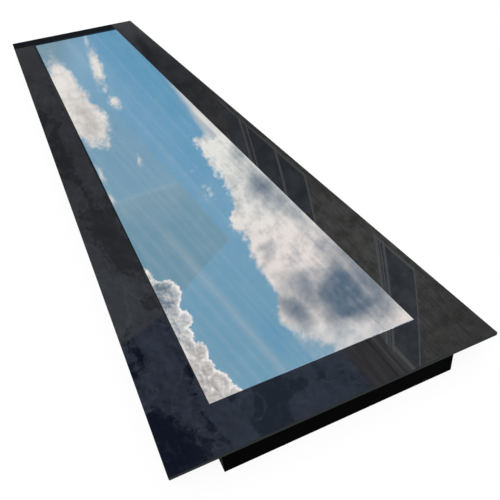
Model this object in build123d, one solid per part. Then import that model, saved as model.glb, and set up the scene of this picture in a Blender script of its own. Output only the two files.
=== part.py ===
"""Fixed flat-roof skylight: a stepped double-glazed unit bedded on a mitred aluminium frame.

Millimetres, +Z up. X runs across the skylight, Y along it, with the front end at -Y. The origin is at the
middle of the frame's lower edge, so the skirt of the rails stands on Z = 0.
"""

import os

from build123d import *

# Outer and inner pane
glass_width = 600.0
glass_length = 2600.0
outer_pane_thickness = 6.0
inner_pane_thickness = 6.8
cavity_depth = 16.0
glass_arris = 0.8
glass_corner_radius = 3.0
border_width = 100.0
enamel_thickness = 0.3
coating_thickness = 0.2

# Edge seal of the glass unit
butyl_thickness = 0.4
spacer_width = 6.4
spacer_wall = 0.8
spacer_shoulder = 1.5
sealant_width = 4.2
key_leg_length = 28.0
key_fit = 0.1

# Frame rails, one extruded section all round
side_overhang = 84.0
end_overhang = 10.0
rail_wall = 2.0
rail_corner_radius = 0.5
skirt_depth = 16.0
drip_chamfer = 1.0
ledge_height = 12.0
ledge_cover = 2.0
head_width = 4.8
head_height = 6.5
hook_mouth = 3.0
hook_lip = 1.6
hook_pocket_height = 5.6
hook_pocket_depth = 2.2

# Screws that a roofer drives through the long skirts into the kerb
fixing_hole_diameter = 5.5
fixing_count = 6
fixing_end_margin = 165.0

# Corner cleats and their countersunk screws
cleat_leg_length = 64.0
cleat_fit = 0.15
cleat_nose_chamfer = 2.5
cleat_screw_place = 40.0
cleat_screw_inset = 7.0
cleat_screw_diameter = 3.4
cleat_screw_head_diameter = 6.8
cleat_screw_tip_cover = 1.5
cleat_screw_fit = 0.1

# Plastic liners inside the rails
liner_width = 12.0
liner_wall = 1.5
liner_nose_radius = 2.0
liner_fit = 0.15

# Gaskets, bedding tape, packers and kerb seals
unit_gap = 0.6
weather_gap = 3.7
gasket_slot_width = 1.8
gasket_slot_depth = 4.5
liner_slot_depth = 3.0
gasket_stem_fit = 0.1
bulb_width = 4.2
bulb_bore_diameter = 1.6
tape_width = 10.0
tape_thickness = 3.2
packer_length = 60.0
packer_chamfer = 0.6
long_packer_shares = (-0.4, 0.0, 0.4)
short_packer_shares = (-0.3, 0.3)
kerb_seal_thickness = 4.0
kerb_seal_skirt_gap = 3.0
kerb_seal_nose_gap = 5.0

# Length by which cutting tools run past what they cut
overrun = 5.0

# Heights of the layers, from the skirt's lower edge upwards
ledge_bottom = skirt_depth
ledge_top = ledge_bottom + ledge_height
ledge_middle = (ledge_bottom + ledge_top) / 2
inner_pane_bottom = ledge_top + tape_thickness
inner_pane_top = inner_pane_bottom + inner_pane_thickness
outer_pane_bottom = inner_pane_top + cavity_depth
outer_pane_top = outer_pane_bottom + outer_pane_thickness
enamel_bottom = outer_pane_bottom - enamel_thickness
rail_top = enamel_bottom - weather_gap
spacer_bottom = inner_pane_top + butyl_thickness
spacer_top = enamel_bottom - butyl_thickness

# Plan sizes of the frame, and distances inward from its outer face
frame_width = glass_width - 2 * side_overhang
frame_length = glass_length - 2 * end_overhang
unit_inset = head_width + unit_gap
spacer_inset = unit_inset + sealant_width
unit_seal_inset = spacer_inset + spacer_width
ledge_width = unit_seal_inset + ledge_cover
frame_band = ledge_width + liner_width
chamber_end = ledge_width - hook_lip - hook_pocket_depth - rail_wall


def outline(*corners):
    """A closed face through corners given as inward distance, height and, if rounded, a radius."""
    points = [corner[:2] for corner in corners]
    radii = [corner[2] if len(corner) > 2 else 0 for corner in corners]
    return make_face(FilletPolyline(*points, radius=radii, close=True))


def rectangle(inner, outer, bottom, top):
    """A plain rectangular face between two inward distances and two heights."""
    return outline((inner, bottom), (outer, bottom), (outer, top), (inner, top))


def prism(points, bottom, top):
    """An upright prism on a plan outline."""
    plan = make_face(Polyline(*points, close=True))
    return extrude(Pos(0, 0, bottom) * plan, amount=top - bottom, dir=(0, 0, 1))


def block(start, end):
    """A box between two corners."""
    size = [high - low for low, high in zip(start, end)]
    return Pos(*start) * Box(*size, align=(Align.MIN, Align.MIN, Align.MIN))


def straight_length(section, half_span, length):
    """A length of section along Y, centred, with its outer face half_span to the left of the middle."""
    start = Plane(origin=(-half_span, length / 2, 0), x_dir=(1, 0, 0), z_dir=(0, -1, 0))
    return extrude(start * section, amount=length, dir=(0, -1, 0))


def mitred_length(section, half_span, length):
    """A length of section cut at 45 degrees at both ends, longest at the outer face."""
    outer, inner = -half_span - overrun, -half_span + frame_band + overrun
    outer_end = length / 2 + overrun
    inner_end = length / 2 - frame_band - overrun
    plan = [(outer, -outer_end), (inner, -inner_end), (inner, inner_end), (outer, outer_end)]
    return straight_length(section, half_span, length) & prism(plan, -overrun, outer_pane_top)


def four_sides(long_piece, short_piece):
    """The left and front piece, and their opposites, by side."""
    return {
        "left": long_piece,
        "right": Rot(0, 0, 180) * long_piece,
        "front": Rot(0, 0, 90) * short_piece,
        "rear": Rot(0, 0, -90) * short_piece,
    }


def mitred_sides(section):
    """Four mitred lengths of one section that meet round the frame."""
    long_piece = mitred_length(section, frame_width / 2, frame_length)
    short_piece = mitred_length(section, frame_length / 2, frame_width)
    return four_sides(long_piece, short_piece)


def butted_sides(inner, outer, bottom, top):
    """Four strips round the frame, where the short ones end against the long ones."""
    section = rectangle(inner, outer, bottom, top)
    long_piece = straight_length(section, frame_width / 2, frame_length - 2 * inner)
    short_piece = straight_length(section, frame_length / 2, frame_width - 2 * outer)
    return four_sides(long_piece, short_piece)


def joined(sides):
    """One ring from four mitred lengths."""
    return sides["left"] + sides["front"] + sides["right"] + sides["rear"]


def corners():
    """The name and the two outward directions of each corner."""
    for end, along in (("front", -1), ("rear", 1)):
        for side, across in (("left", -1), ("right", 1)):
            yield f"{end}_{side}", across, along


def corner_point(across, along, inset_across, inset_along):
    """A plan point given by its distances inward from the two frame faces at a corner."""
    return across * (frame_width / 2 - inset_across), along * (frame_length / 2 - inset_along)


def save(name, *pieces):
    """Writes one node, which may hold several separate solids."""
    solids = [solid for piece in pieces for solid in piece.solids()]
    export_step(Compound(children=solids), f"parts/{name}.step")


def arrised(plan, bottom, thickness):
    """A sheet of glass with its upper and lower edges ground at 45 degrees."""
    sheet = extrude(Pos(0, 0, bottom) * plan, amount=thickness)
    levels = sheet.edges().group_by(Axis.Z)
    return chamfer(levels[0] + levels[-1], glass_arris)


# Glass unit: the outer pane oversails the frame on all sides, the inner pane fits between the rails. The
# outer pane carries an enamel border below, and a solar coating inside that border

outer_pane = arrised(
    RectangleRounded(glass_width, glass_length, glass_corner_radius), outer_pane_bottom, outer_pane_thickness
)
inner_pane = arrised(
    Rectangle(frame_width - 2 * unit_inset, frame_length - 2 * unit_inset),
    inner_pane_bottom,
    inner_pane_thickness,
)
clear_area = Rectangle(glass_width - 2 * border_width, glass_length - 2 * border_width)
enamel_plan = (
    RectangleRounded(
        glass_width - 2 * glass_arris, glass_length - 2 * glass_arris, glass_corner_radius - glass_arris
    )
    - clear_area
)
enamel_border = extrude(Pos(0, 0, enamel_bottom) * enamel_plan, amount=enamel_thickness)
coating_bottom = outer_pane_bottom - coating_thickness
solar_coating = extrude(Pos(0, 0, coating_bottom) * clear_area, amount=coating_thickness)

# Edge seal: hollow spacer bars on corner keys, butyl above and below, sealant behind with filled shoulders

spacer_flat = spacer_inset + spacer_shoulder
spacer_outline = outline(
    (spacer_inset, spacer_bottom + spacer_shoulder),
    (spacer_flat, spacer_bottom),
    (unit_seal_inset, spacer_bottom),
    (unit_seal_inset, spacer_top),
    (spacer_flat, spacer_top),
    (spacer_inset, spacer_top - spacer_shoulder),
)
spacer_hollow = offset(spacer_outline, amount=-spacer_wall, kind=Kind.INTERSECTION)
key_leg_outline = offset(spacer_hollow, amount=-key_fit, kind=Kind.INTERSECTION)
long_bar_length = frame_length - 2 * unit_seal_inset
short_bar_length = frame_width - 2 * unit_seal_inset
spacer_bars = four_sides(
    straight_length(spacer_outline - spacer_hollow, frame_width / 2, long_bar_length),
    straight_length(spacer_outline - spacer_hollow, frame_length / 2, short_bar_length),
)
spacer_ring = joined(mitred_sides(spacer_outline))
key_legs = four_sides(
    straight_length(key_leg_outline, frame_width / 2, long_bar_length),
    straight_length(key_leg_outline, frame_length / 2, short_bar_length),
)
desiccant_fill = four_sides(
    straight_length(key_leg_outline, frame_width / 2, long_bar_length - 2 * key_leg_length),
    straight_length(key_leg_outline, frame_length / 2, short_bar_length - 2 * key_leg_length),
)


def spacer_key(across, along):
    """A corner block in line with the bars, with a leg into each of the two bars."""
    reach = unit_seal_inset + key_leg_length
    near = corner_point(across, along, 0, 0)
    block_far = corner_point(across, along, unit_seal_inset, unit_seal_inset)
    leg_far = corner_point(across, along, reach, reach)

    def corner_box(far):
        low = [min(a, b) for a, b in zip(near, far)]
        high = [max(a, b) for a, b in zip(near, far)]
        return block((*low, inner_pane_top), (*high, outer_pane_bottom))

    long_leg = key_legs["left" if across < 0 else "right"]
    short_leg = key_legs["front" if along < 0 else "rear"]
    return (spacer_ring & corner_box(block_far)) + ((long_leg + short_leg) & corner_box(leg_far))


butyl_upper = joined(mitred_sides(rectangle(spacer_flat, unit_seal_inset, spacer_top, enamel_bottom)))
butyl_lower = joined(mitred_sides(rectangle(spacer_flat, unit_seal_inset, inner_pane_top, spacer_bottom)))
edge_sealant = joined(
    mitred_sides(
        outline(
            (unit_inset, inner_pane_top),
            (spacer_flat, inner_pane_top),
            (spacer_flat, spacer_bottom),
            (spacer_inset, spacer_bottom + spacer_shoulder),
            (spacer_inset, spacer_top - spacer_shoulder),
            (spacer_flat, spacer_top),
            (spacer_flat, enamel_bottom),
            (unit_inset, enamel_bottom),
        )
    )
)

# Rails: skirt below, hollow ledge under the glass unit, thin wall beside it and a slotted head for the gasket

head_bottom = rail_top - head_height
neck_bottom = head_bottom - (head_width - rail_wall)
slot_outer = (head_width - gasket_slot_width) / 2
slot_inner = (head_width + gasket_slot_width) / 2
hook_back = ledge_width - hook_lip
hook_end = hook_back - hook_pocket_depth
hook_low, hook_high = ledge_middle - hook_mouth / 2, ledge_middle + hook_mouth / 2
pocket_low = ledge_middle - hook_pocket_height / 2
pocket_high = ledge_middle + hook_pocket_height / 2
rail_section = outline(
    (0, 0, rail_corner_radius),
    (rail_wall - drip_chamfer, 0),
    (rail_wall, drip_chamfer),
    (rail_wall, ledge_bottom),
    (ledge_width, ledge_bottom),
    (ledge_width, hook_low),
    (hook_back, hook_low),
    (hook_back, pocket_low),
    (hook_end, pocket_low),
    (hook_end, pocket_high),
    (hook_back, pocket_high),
    (hook_back, hook_high),
    (ledge_width, hook_high),
    (ledge_width, ledge_top),
    (rail_wall, ledge_top),
    (rail_wall, neck_bottom),
    (head_width, head_bottom),
    (head_width, rail_top),
    (slot_inner, rail_top),
    (slot_inner, rail_top - gasket_slot_depth),
    (slot_outer, rail_top - gasket_slot_depth),
    (slot_outer, rail_top),
    (0, rail_top, rail_corner_radius),
) - rectangle(rail_wall, chamber_end, ledge_bottom + rail_wall, ledge_top - rail_wall)
frame_rails = mitred_sides(rail_section)

fixing_height = (skirt_depth - kerb_seal_thickness) / 2
fixing_pitch = (frame_length - 2 * fixing_end_margin) / (fixing_count - 1)
fixing_drill = Rot(0, 90, 0) * Cylinder(fixing_hole_diameter / 2, frame_width + overrun)
for place in range(fixing_count):
    along = place * fixing_pitch - frame_length / 2 + fixing_end_margin
    for side in ("left", "right"):
        frame_rails[side] -= Pos(0, along, fixing_height) * fixing_drill

# Corner cleats fill the rails' chambers across each mitre and take one screw from below in each leg

cleat_near = rail_wall + cleat_fit
cleat_far = chamber_end - cleat_fit
cleat_bottom = ledge_bottom + rail_wall + cleat_fit
cleat_top = ledge_top - rail_wall - cleat_fit


def corner_cleat(across, along):
    """An angle with two equal legs and a blunted outer corner."""
    insets = (
        (cleat_near + cleat_nose_chamfer, cleat_near),
        (cleat_leg_length, cleat_near),
        (cleat_leg_length, cleat_far),
        (cleat_far, cleat_far),
        (cleat_far, cleat_leg_length),
        (cleat_near, cleat_leg_length),
        (cleat_near, cleat_near + cleat_nose_chamfer),
    )
    plan = [corner_point(across, along, *inset) for inset in insets]
    return prism(plan, cleat_bottom, cleat_top)


def cleat_screw(fit):
    """A countersunk screw, point upwards, with its head in the plane of the ledge's underside."""
    shank = cleat_screw_diameter / 2 + fit
    head = cleat_screw_head_diameter / 2 + fit
    tip = cleat_top - cleat_screw_tip_cover + fit
    half = make_face(
        Polyline(
            (0, 0, ledge_bottom),
            (head, 0, ledge_bottom),
            (shank, 0, ledge_bottom + head - shank),
            (shank, 0, tip),
            (0, 0, tip),
            close=True,
        )
    )
    return revolve(half, Axis.Z)


corner_cleats = {}
cleat_screws = []
for name, across, along in corners():
    cleat = corner_cleat(across, along)
    long_rail = "left" if across < 0 else "right"
    short_rail = "front" if along < 0 else "rear"
    for rail, insets in (
        (long_rail, (cleat_screw_inset, cleat_screw_place)),
        (short_rail, (cleat_screw_place, cleat_screw_inset)),
    ):
        seat = Pos(*corner_point(across, along, *insets), 0)
        cleat_screws.append(seat * cleat_screw(0))
        cleat -= seat * cleat_screw(cleat_screw_fit)
        frame_rails[rail] -= seat * cleat_screw(cleat_screw_fit)
    corner_cleats[name] = cleat

# Liners: a hollow plastic nosing with a T-shaped hook in the rail's pocket and a gasket slot on top

liner_outer = ledge_width + liner_fit
liner_inner = ledge_width + liner_width
liner_middle = (liner_outer + liner_inner) / 2
liner_slot_outer = liner_middle - gasket_slot_width / 2
liner_slot_inner = liner_middle + gasket_slot_width / 2
liner_slot_bottom = ledge_top - liner_slot_depth
neck_low, neck_high = hook_low + liner_fit, hook_high - liner_fit
head_low, head_high = pocket_low + liner_fit, pocket_high - liner_fit
liner_section = outline(
    (liner_outer, ledge_bottom),
    (liner_inner, ledge_bottom, liner_nose_radius),
    (liner_inner, ledge_top, liner_nose_radius),
    (liner_slot_inner, ledge_top),
    (liner_slot_inner, liner_slot_bottom),
    (liner_slot_outer, liner_slot_bottom),
    (liner_slot_outer, ledge_top),
    (liner_outer, ledge_top),
    (liner_outer, neck_high),
    (hook_back - liner_fit, neck_high),
    (hook_back - liner_fit, head_high),
    (hook_end + liner_fit, head_high),
    (hook_end + liner_fit, head_low),
    (hook_back - liner_fit, head_low),
    (hook_back - liner_fit, neck_low),
    (liner_outer, neck_low),
) - rectangle(
    liner_outer + liner_wall,
    liner_inner - liner_wall,
    ledge_bottom + liner_wall,
    liner_slot_bottom - liner_wall,
)
inner_liners = mitred_sides(liner_section)


# Bulb gaskets, bedding tape, packers and kerb seals


def bulb_gasket(middle, seat, height, slot_depth):
    """A hollow bulb squeezed between its seat and the glass, on a stem pushed in a slot."""
    stem = gasket_slot_width / 2 - gasket_stem_fit
    half = bulb_width / 2
    shoulder = min(half, height / 2) / 2
    section = outline(
        (middle - stem, seat - slot_depth + gasket_stem_fit),
        (middle + stem, seat - slot_depth + gasket_stem_fit),
        (middle + stem, seat),
        (middle + half, seat),
        (middle + half, seat + height, shoulder),
        (middle - half, seat + height, shoulder),
        (middle - half, seat),
        (middle - stem, seat),
    )
    bore = Pos(middle, seat + height / 2) * Circle(bulb_bore_diameter / 2)
    return mitred_sides(section - bore)


weather_gaskets = bulb_gasket(head_width / 2, rail_top, weather_gap, gasket_slot_depth)
liner_gaskets = bulb_gasket(liner_middle, ledge_top, tape_thickness, liner_slot_depth)

glazing_tape = butted_sides(unit_seal_inset - tape_width, unit_seal_inset, ledge_top, inner_pane_bottom)

packer_section = rectangle(rail_wall, unit_inset, ledge_top, inner_pane_top)
packer_section = chamfer(packer_section.vertices(), packer_chamfer)
edge_packers = []
for half_span, run, turn, shares in (
    (frame_width / 2, frame_length, 0, long_packer_shares),
    (frame_length / 2, frame_width, 90, short_packer_shares),
):
    for share in shares:
        packer = Pos(0, share * run, 0) * straight_length(packer_section, half_span, packer_length)
        edge_packers.append(Rot(0, 0, turn) * packer)
        edge_packers.append(Rot(0, 0, turn + 180) * packer)

kerb_seals = butted_sides(
    rail_wall + kerb_seal_skirt_gap,
    frame_band - kerb_seal_nose_gap,
    ledge_bottom - kerb_seal_thickness,
    ledge_bottom,
)

# One file for each piece

os.makedirs("parts", exist_ok=True)
save("outer_pane", outer_pane)
save("enamel_border", enamel_border)
save("solar_coating", solar_coating)
save("inner_pane", inner_pane)
save("desiccant_fill", *desiccant_fill.values())
save("butyl_seal_upper", butyl_upper)
save("butyl_seal_lower", butyl_lower)
save("edge_sealant", edge_sealant)
save("cleat_screws", *cleat_screws)
save("edge_packers", *edge_packers)
for name, across, along in corners():
    save(f"spacer_key_{name}", spacer_key(across, along))
    save(f"corner_cleat_{name}", corner_cleats[name])
for group, sides in (
    ("spacer_bar", spacer_bars),
    ("frame_rail", frame_rails),
    ("weather_gasket", weather_gaskets),
    ("inner_liner", inner_liners),
    ("liner_gasket", liner_gaskets),
    ("glazing_tape", glazing_tape),
    ("kerb_seal", kerb_seals),
):
    for side, piece in sides.items():
        save(f"{group}_{side}", piece)
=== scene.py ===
"""Looks of a fixed flat-roof skylight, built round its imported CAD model. Metres, +Z up, front end at -Y."""

import math

import bpy
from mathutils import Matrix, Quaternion, Vector


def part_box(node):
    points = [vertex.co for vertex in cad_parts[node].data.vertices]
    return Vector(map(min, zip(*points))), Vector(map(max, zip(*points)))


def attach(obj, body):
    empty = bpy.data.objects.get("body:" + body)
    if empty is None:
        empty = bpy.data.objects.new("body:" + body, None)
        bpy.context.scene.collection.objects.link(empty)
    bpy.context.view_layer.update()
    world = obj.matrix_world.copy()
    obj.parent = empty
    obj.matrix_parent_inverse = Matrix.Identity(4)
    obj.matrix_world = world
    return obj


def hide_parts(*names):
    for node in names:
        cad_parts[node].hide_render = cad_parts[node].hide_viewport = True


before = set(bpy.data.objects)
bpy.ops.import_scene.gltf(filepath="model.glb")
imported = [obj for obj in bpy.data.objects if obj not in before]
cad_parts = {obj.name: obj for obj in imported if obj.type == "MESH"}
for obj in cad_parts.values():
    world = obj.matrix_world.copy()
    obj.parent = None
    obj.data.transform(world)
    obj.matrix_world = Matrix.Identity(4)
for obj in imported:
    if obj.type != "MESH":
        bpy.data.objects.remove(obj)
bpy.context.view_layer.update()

# Frame rails: four aluminium extrusions, mitred and joined at the corners by hidden cleats. They get a
# black powder coat with a fine texture once they are cut, which is even, dull and slightly pebbled.

mm = 0.001
mottle_spread = (0.3, 0.7)


def add(tree, kind, inputs, **settings):
    """A node with its settings made, and its inputs set to a value or joined to another node's output."""
    node = tree.nodes.new(kind)
    for setting, value in settings.items():
        setattr(node, setting, value)
    for socket, value in inputs.items():
        if isinstance(value, bpy.types.NodeSocket):
            tree.links.new(value, node.inputs[socket])
        else:
            node.inputs[socket].default_value = value
    return node


def made(tree, kind, inputs, **settings):
    """The first output of a new node."""
    return add(tree, kind, inputs, **settings).outputs[0]


def new_finish(name, **sockets):
    """A finish with one Principled shader, and the object coordinates that its pattern is laid on."""
    finish = bpy.data.materials.new(name)
    finish.use_nodes = True
    tree = finish.node_tree
    shader = tree.nodes["Principled BSDF"]
    for socket, value in sockets.items():
        shader.inputs[socket.replace("_", " ")].default_value = value
    place = add(tree, "ShaderNodeTexCoord", {}).outputs["Object"]
    return finish, tree, shader, place


def mottle(tree, place, size, detail=2.0, stretch=(1, 1, 1)):
    """Uneven shares from 0 to 1, in patches of about one size that can be drawn out along an axis."""
    scaled = made(tree, "ShaderNodeMapping", {"Vector": place, "Scale": [1 / (size * s) for s in stretch]})
    noise = {"Vector": scaled, "Scale": 1.0, "Detail": detail}
    return made(tree, "ShaderNodeTexNoise", noise)


def toned(tree, share, dark, light):
    """Colours from dark to light over the shares that most of a mottle has."""
    ramp = add(tree, "ShaderNodeValToRGB", {"Fac": share})
    for stop, position, colour in zip(ramp.color_ramp.elements, mottle_spread, (dark, light)):
        stop.position = position
        stop.color = (*colour, 1)
    return ramp.outputs["Color"]


def tint(tree, shader, share, dark, light):
    """Colours a finish from dark to light over the shares that most of a mottle has."""
    tree.links.new(toned(tree, share, dark, light), shader.inputs["Base Color"])


def roughen(tree, shader, share, low, high):
    """Makes a finish from low to high in roughness over the shares that most of a mottle has."""
    few, many = mottle_spread
    spread = {"Value": share, "From Min": few, "From Max": many, "To Min": low, "To Max": high}
    tree.links.new(made(tree, "ShaderNodeMapRange", spread), shader.inputs["Roughness"])


def relief(tree, shader, height, depth):
    """Fine relief on a finish, as deep as given."""
    bump = add(tree, "ShaderNodeBump", {"Height": height, "Strength": 1.0, "Distance": depth})
    tree.links.new(bump.outputs["Normal"], shader.inputs["Normal"])


def dress(names, finish):
    """Gives CAD pieces a finish."""
    for name in names:
        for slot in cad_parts[name].material_slots:
            slot.material = finish


def sides(group):
    """The names of a group's four pieces."""
    return [f"{group}_{side}" for side in ("left", "right", "front", "rear")]


powder_coat, tree, shader, place = new_finish("black_powder_coat", Specular_IOR_Level=0.004)
pebbles = mottle(tree, place, size=1.1 * mm)
drift = mottle(tree, place, size=160 * mm)
tint(tree, shader, drift, dark=(0.0006, 0.0006, 0.0007), light=(0.0014, 0.0014, 0.0015))
roughen(tree, shader, pebbles, low=0.5, high=0.62)
relief(tree, shader, pebbles, depth=0.05 * mm)
dress(sides("frame_rail"), powder_coat)

# Corner cleats: aluminium angles cut from an extrusion, pushed in the chambers of two rails across each
# mitre. They stay bare inside the frame, with the streaks of the extrusion along their height.


def corners(group):
    """The names of a group's four corner pieces."""
    return [f"{group}_{end}_{side}" for end in ("front", "rear") for side in ("left", "right")]


bare_aluminium, tree, shader, place = new_finish("bare_aluminium", Metallic=1.0)
streaks = mottle(tree, place, size=0.8 * mm, stretch=(1, 1, 30))
tint(tree, shader, streaks, dark=(0.60, 0.61, 0.62), light=(0.74, 0.75, 0.76))
roughen(tree, shader, streaks, low=0.28, high=0.44)
dress(corners("corner_cleat"), bare_aluminium)

# Cleat screws: eight zinc-plated countersunk screws with hexagon sockets and rolled threads. They are
# driven from below, with their heads flush in the ledge of the rails, up into the cleats.

zinc, tree, shader, place = new_finish("zinc_plate", Metallic=1.0)
spangle = mottle(tree, place, size=1.5 * mm, detail=4.0)
tint(tree, shader, spangle, dark=(0.56, 0.57, 0.58), light=(0.74, 0.74, 0.72))
roughen(tree, shader, spangle, low=0.22, high=0.4)


def worked(tree, operation, *values):
    """One step of arithmetic in a tree."""
    return made(tree, "ShaderNodeMath", dict(enumerate(values)), operation=operation)


def new_growth(name, *sizes):
    """An empty Geometry Nodes tree with a named input for each of its sizes, and those inputs."""
    tree = bpy.data.node_groups.new(name, "GeometryNodeTree")
    tree.interface.new_socket("Geometry", in_out="INPUT", socket_type="NodeSocketGeometry")
    tree.interface.new_socket("Geometry", in_out="OUTPUT", socket_type="NodeSocketGeometry")
    for size in sizes:
        tree.interface.new_socket(size, in_out="INPUT", socket_type="NodeSocketFloat")
    return tree, add(tree, "NodeGroupInput", {}).outputs


def raised(tree, geometry, height):
    """Geometry moved up by a height."""
    lift = made(tree, "ShaderNodeCombineXYZ", {"Z": height})
    return made(tree, "GeometryNodeTransform", {"Geometry": geometry, "Translation": lift})


def together(tree, first, second):
    """Two pieces of geometry as one."""
    both_pieces = add(tree, "GeometryNodeJoinGeometry", {"Geometry": first})
    tree.links.new(second, both_pieces.inputs["Geometry"])
    return both_pieces.outputs["Geometry"]


def ripen(tree, instances, finish):
    """Ends a tree: its instances become one mesh with a finish."""
    real = made(tree, "GeometryNodeRealizeInstances", {"Geometry": instances})
    finished = made(tree, "GeometryNodeSetMaterial", {"Geometry": real, "Material": finish})
    add(tree, "NodeGroupOutput", {"Geometry": finished})


def placed(name, data):
    """A new object in the scene."""
    thing = bpy.data.objects.new(name, data)
    bpy.context.scene.collection.objects.link(thing)
    return thing


def grow(name, start_points, start_lines, tree, **sizes):
    """A piece with the plain mesh that a tree makes of starting points and lines."""
    start = bpy.data.meshes.new(name)
    start.from_pydata(start_points, start_lines, [])
    piece = placed(name, start)
    modifier = piece.modifiers.new(name, "NODES")
    modifier.node_group = tree
    for socket in tree.interface.items_tree:
        if socket.name in sizes:
            modifier[socket.identifier] = sizes[socket.name]
    grown = piece.evaluated_get(bpy.context.evaluated_depsgraph_get())
    piece.data = bpy.data.meshes.new_from_object(grown)
    piece.modifiers.clear()
    if piece.data.materials[0] is None:
        piece.data.materials.pop(index=0)
    return piece


head_facets, shank_facets, socket_facets = 32, 24, 6
thread_steps, ridge_corners = 20, 4
socket_cut = 1.6
tree, screw_sizes = new_growth(
    "threaded_screw",
    "head_radius",
    "thread_radius",
    "core_radius",
    "head_height",
    "length",
    "pitch",
    "socket_radius",
)
core_radius, pitch = screw_sizes["core_radius"], screw_sizes["pitch"]
head_height = screw_sizes["head_height"]
head_shape = {
    "Vertices": head_facets,
    "Radius Bottom": screw_sizes["head_radius"],
    "Radius Top": core_radius,
    "Depth": head_height,
}
head = made(tree, "GeometryNodeMeshCone", head_shape)
socket_shape = {
    "Vertices": socket_facets,
    "Radius": screw_sizes["socket_radius"],
    "Depth": worked(tree, "MULTIPLY", head_height, socket_cut),
}
hexagon = made(tree, "GeometryNodeMeshCylinder", socket_shape)
socketed_head = made(
    tree, "GeometryNodeMeshBoolean", {"Mesh 1": head, "Mesh 2": hexagon}, operation="DIFFERENCE"
)
shank_length = worked(tree, "SUBTRACT", screw_sizes["length"], head_height)
shank_shape = {
    "Vertices": shank_facets,
    "Radius Bottom": core_radius,
    "Radius Top": core_radius,
    "Depth": shank_length,
}
shank = made(tree, "GeometryNodeMeshCone", shank_shape)
thread_turns = worked(tree, "SUBTRACT", worked(tree, "DIVIDE", shank_length, pitch), 1.0)
thread_path = {
    "Resolution": thread_steps,
    "Rotations": thread_turns,
    "Start Radius": core_radius,
    "End Radius": core_radius,
    "Height": worked(tree, "MULTIPLY", thread_turns, pitch),
}
thread_line = made(tree, "GeometryNodeCurveSpiral", thread_path)
thread_depth = worked(tree, "SUBTRACT", screw_sizes["thread_radius"], core_radius)
ridge_shape = {"Resolution": ridge_corners, "Radius": thread_depth}
thread_ridge = made(tree, "GeometryNodeCurvePrimitiveCircle", ridge_shape)
thread_sweep = {"Curve": thread_line, "Profile Curve": thread_ridge, "Fill Caps": True}
thread = made(tree, "GeometryNodeCurveToMesh", thread_sweep)
raised_thread = raised(tree, thread, worked(tree, "MULTIPLY", pitch, 0.5))
raised_shank = raised(tree, together(tree, shank, raised_thread), head_height)
screw = together(tree, socketed_head, raised_shank)
screws_in_place = made(
    tree, "GeometryNodeInstanceOnPoints", {"Points": screw_sizes["Geometry"], "Instance": screw}
)
ripen(tree, screws_in_place, zinc)

screw_low, screw_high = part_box("cleat_screws")
screw_head_radius = 3.4 * mm
screw_from_corner = 33 * mm
outer_x = screw_high.x - screw_head_radius
outer_y = screw_high.y - screw_head_radius
screw_points = []
for x, y in ((outer_x, outer_y - screw_from_corner), (outer_x - screw_from_corner, outer_y)):
    for across, along in ((x, y), (-x, y), (x, -y), (-x, -y)):
        screw_points.append((across, along, screw_low.z))
screws = grow(
    "threaded_screws",
    screw_points,
    [],
    tree,
    head_radius=screw_head_radius,
    thread_radius=1.68 * mm,
    core_radius=1.3 * mm,
    head_height=1.9 * mm,
    length=screw_high.z - screw_low.z,
    pitch=0.8 * mm,
    socket_radius=1.25 * mm,
)
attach(screws, "root")
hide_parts("cleat_screws")

# Inner liners: hollow dark plastic extrusions hooked in the rails, which make the inner face of the frame.
# The die leaves faint lines along their length.


def extruded_plastic(name, along, dark, light):
    """Satin plastic with die lines that run along X or Y."""
    finish, tree, shader, place = new_finish(name, Specular_IOR_Level=0.4)
    stretch = (400, 1, 1) if along == "X" else (1, 400, 1)
    lines = mottle(tree, place, size=0.7 * mm, stretch=stretch)
    tint(tree, shader, lines, dark, light)
    roughen(tree, shader, lines, low=0.38, high=0.5)
    relief(tree, shader, lines, depth=0.02 * mm)
    return finish


def dress_bars(group, finish_name, dark, light):
    """Gives four extruded bars their plastic, with the die lines along each."""
    left, right_hand, front, rear = sides(group)
    dress([left, right_hand], extruded_plastic(f"{finish_name}_long", "Y", dark, light))
    dress([front, rear], extruded_plastic(f"{finish_name}_short", "X", dark, light))


dress_bars("inner_liner", "liner_plastic", dark=(0.016, 0.016, 0.017), light=(0.022, 0.022, 0.023))

# Gaskets: rubber bulb seals pushed by their stems in the slots of the rails and liners, under the two
# panes. Edge packers: blocks of a harder rubber that centre the glass unit.


def rubber(name, dark, light, bloom_size):
    """Dull rubber with a faint bloom."""
    finish, tree, shader, place = new_finish(name, Specular_IOR_Level=0.3)
    bloom = mottle(tree, place, size=bloom_size, detail=5.0)
    skin = mottle(tree, place, size=0.6 * mm)
    tint(tree, shader, bloom, dark, light)
    roughen(tree, shader, skin, low=0.6, high=0.75)
    relief(tree, shader, skin, depth=0.02 * mm)
    return finish


gasket_rubber = rubber(
    "gasket_rubber", dark=(0.007, 0.007, 0.0075), light=(0.013, 0.013, 0.0135), bloom_size=30 * mm
)
packer_rubber = rubber(
    "packer_rubber", dark=(0.02, 0.02, 0.021), light=(0.032, 0.032, 0.033), bloom_size=12 * mm
)
dress(sides("weather_gasket") + sides("liner_gasket"), gasket_rubber)
dress(["edge_packers"], packer_rubber)

# Glazing tape and kerb seals: strips of closed-cell foam with a gummed face. The tape beds the glass unit
# on the ledge, and the kerb seals close the joint between the ledge and the roof kerb.


def foam(name, dark, light, cell):
    """Cut foam, with round cells of one size that show as pits: painted shade darkens the low edges between
    them.
    """
    finish, tree, shader, place = new_finish(name, Specular_IOR_Level=0.2)
    cells = made(tree, "ShaderNodeTexVoronoi", {"Vector": place, "Scale": 1 / cell})
    # Painted shade: the colour darkens towards the low edges of the cells.
    tint(tree, shader, cells, light, dark)
    roughen(tree, shader, cells, low=0.8, high=0.95)
    relief(tree, shader, worked(tree, "SUBTRACT", 1.0, cells), depth=0.15 * mm)
    return finish


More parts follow.
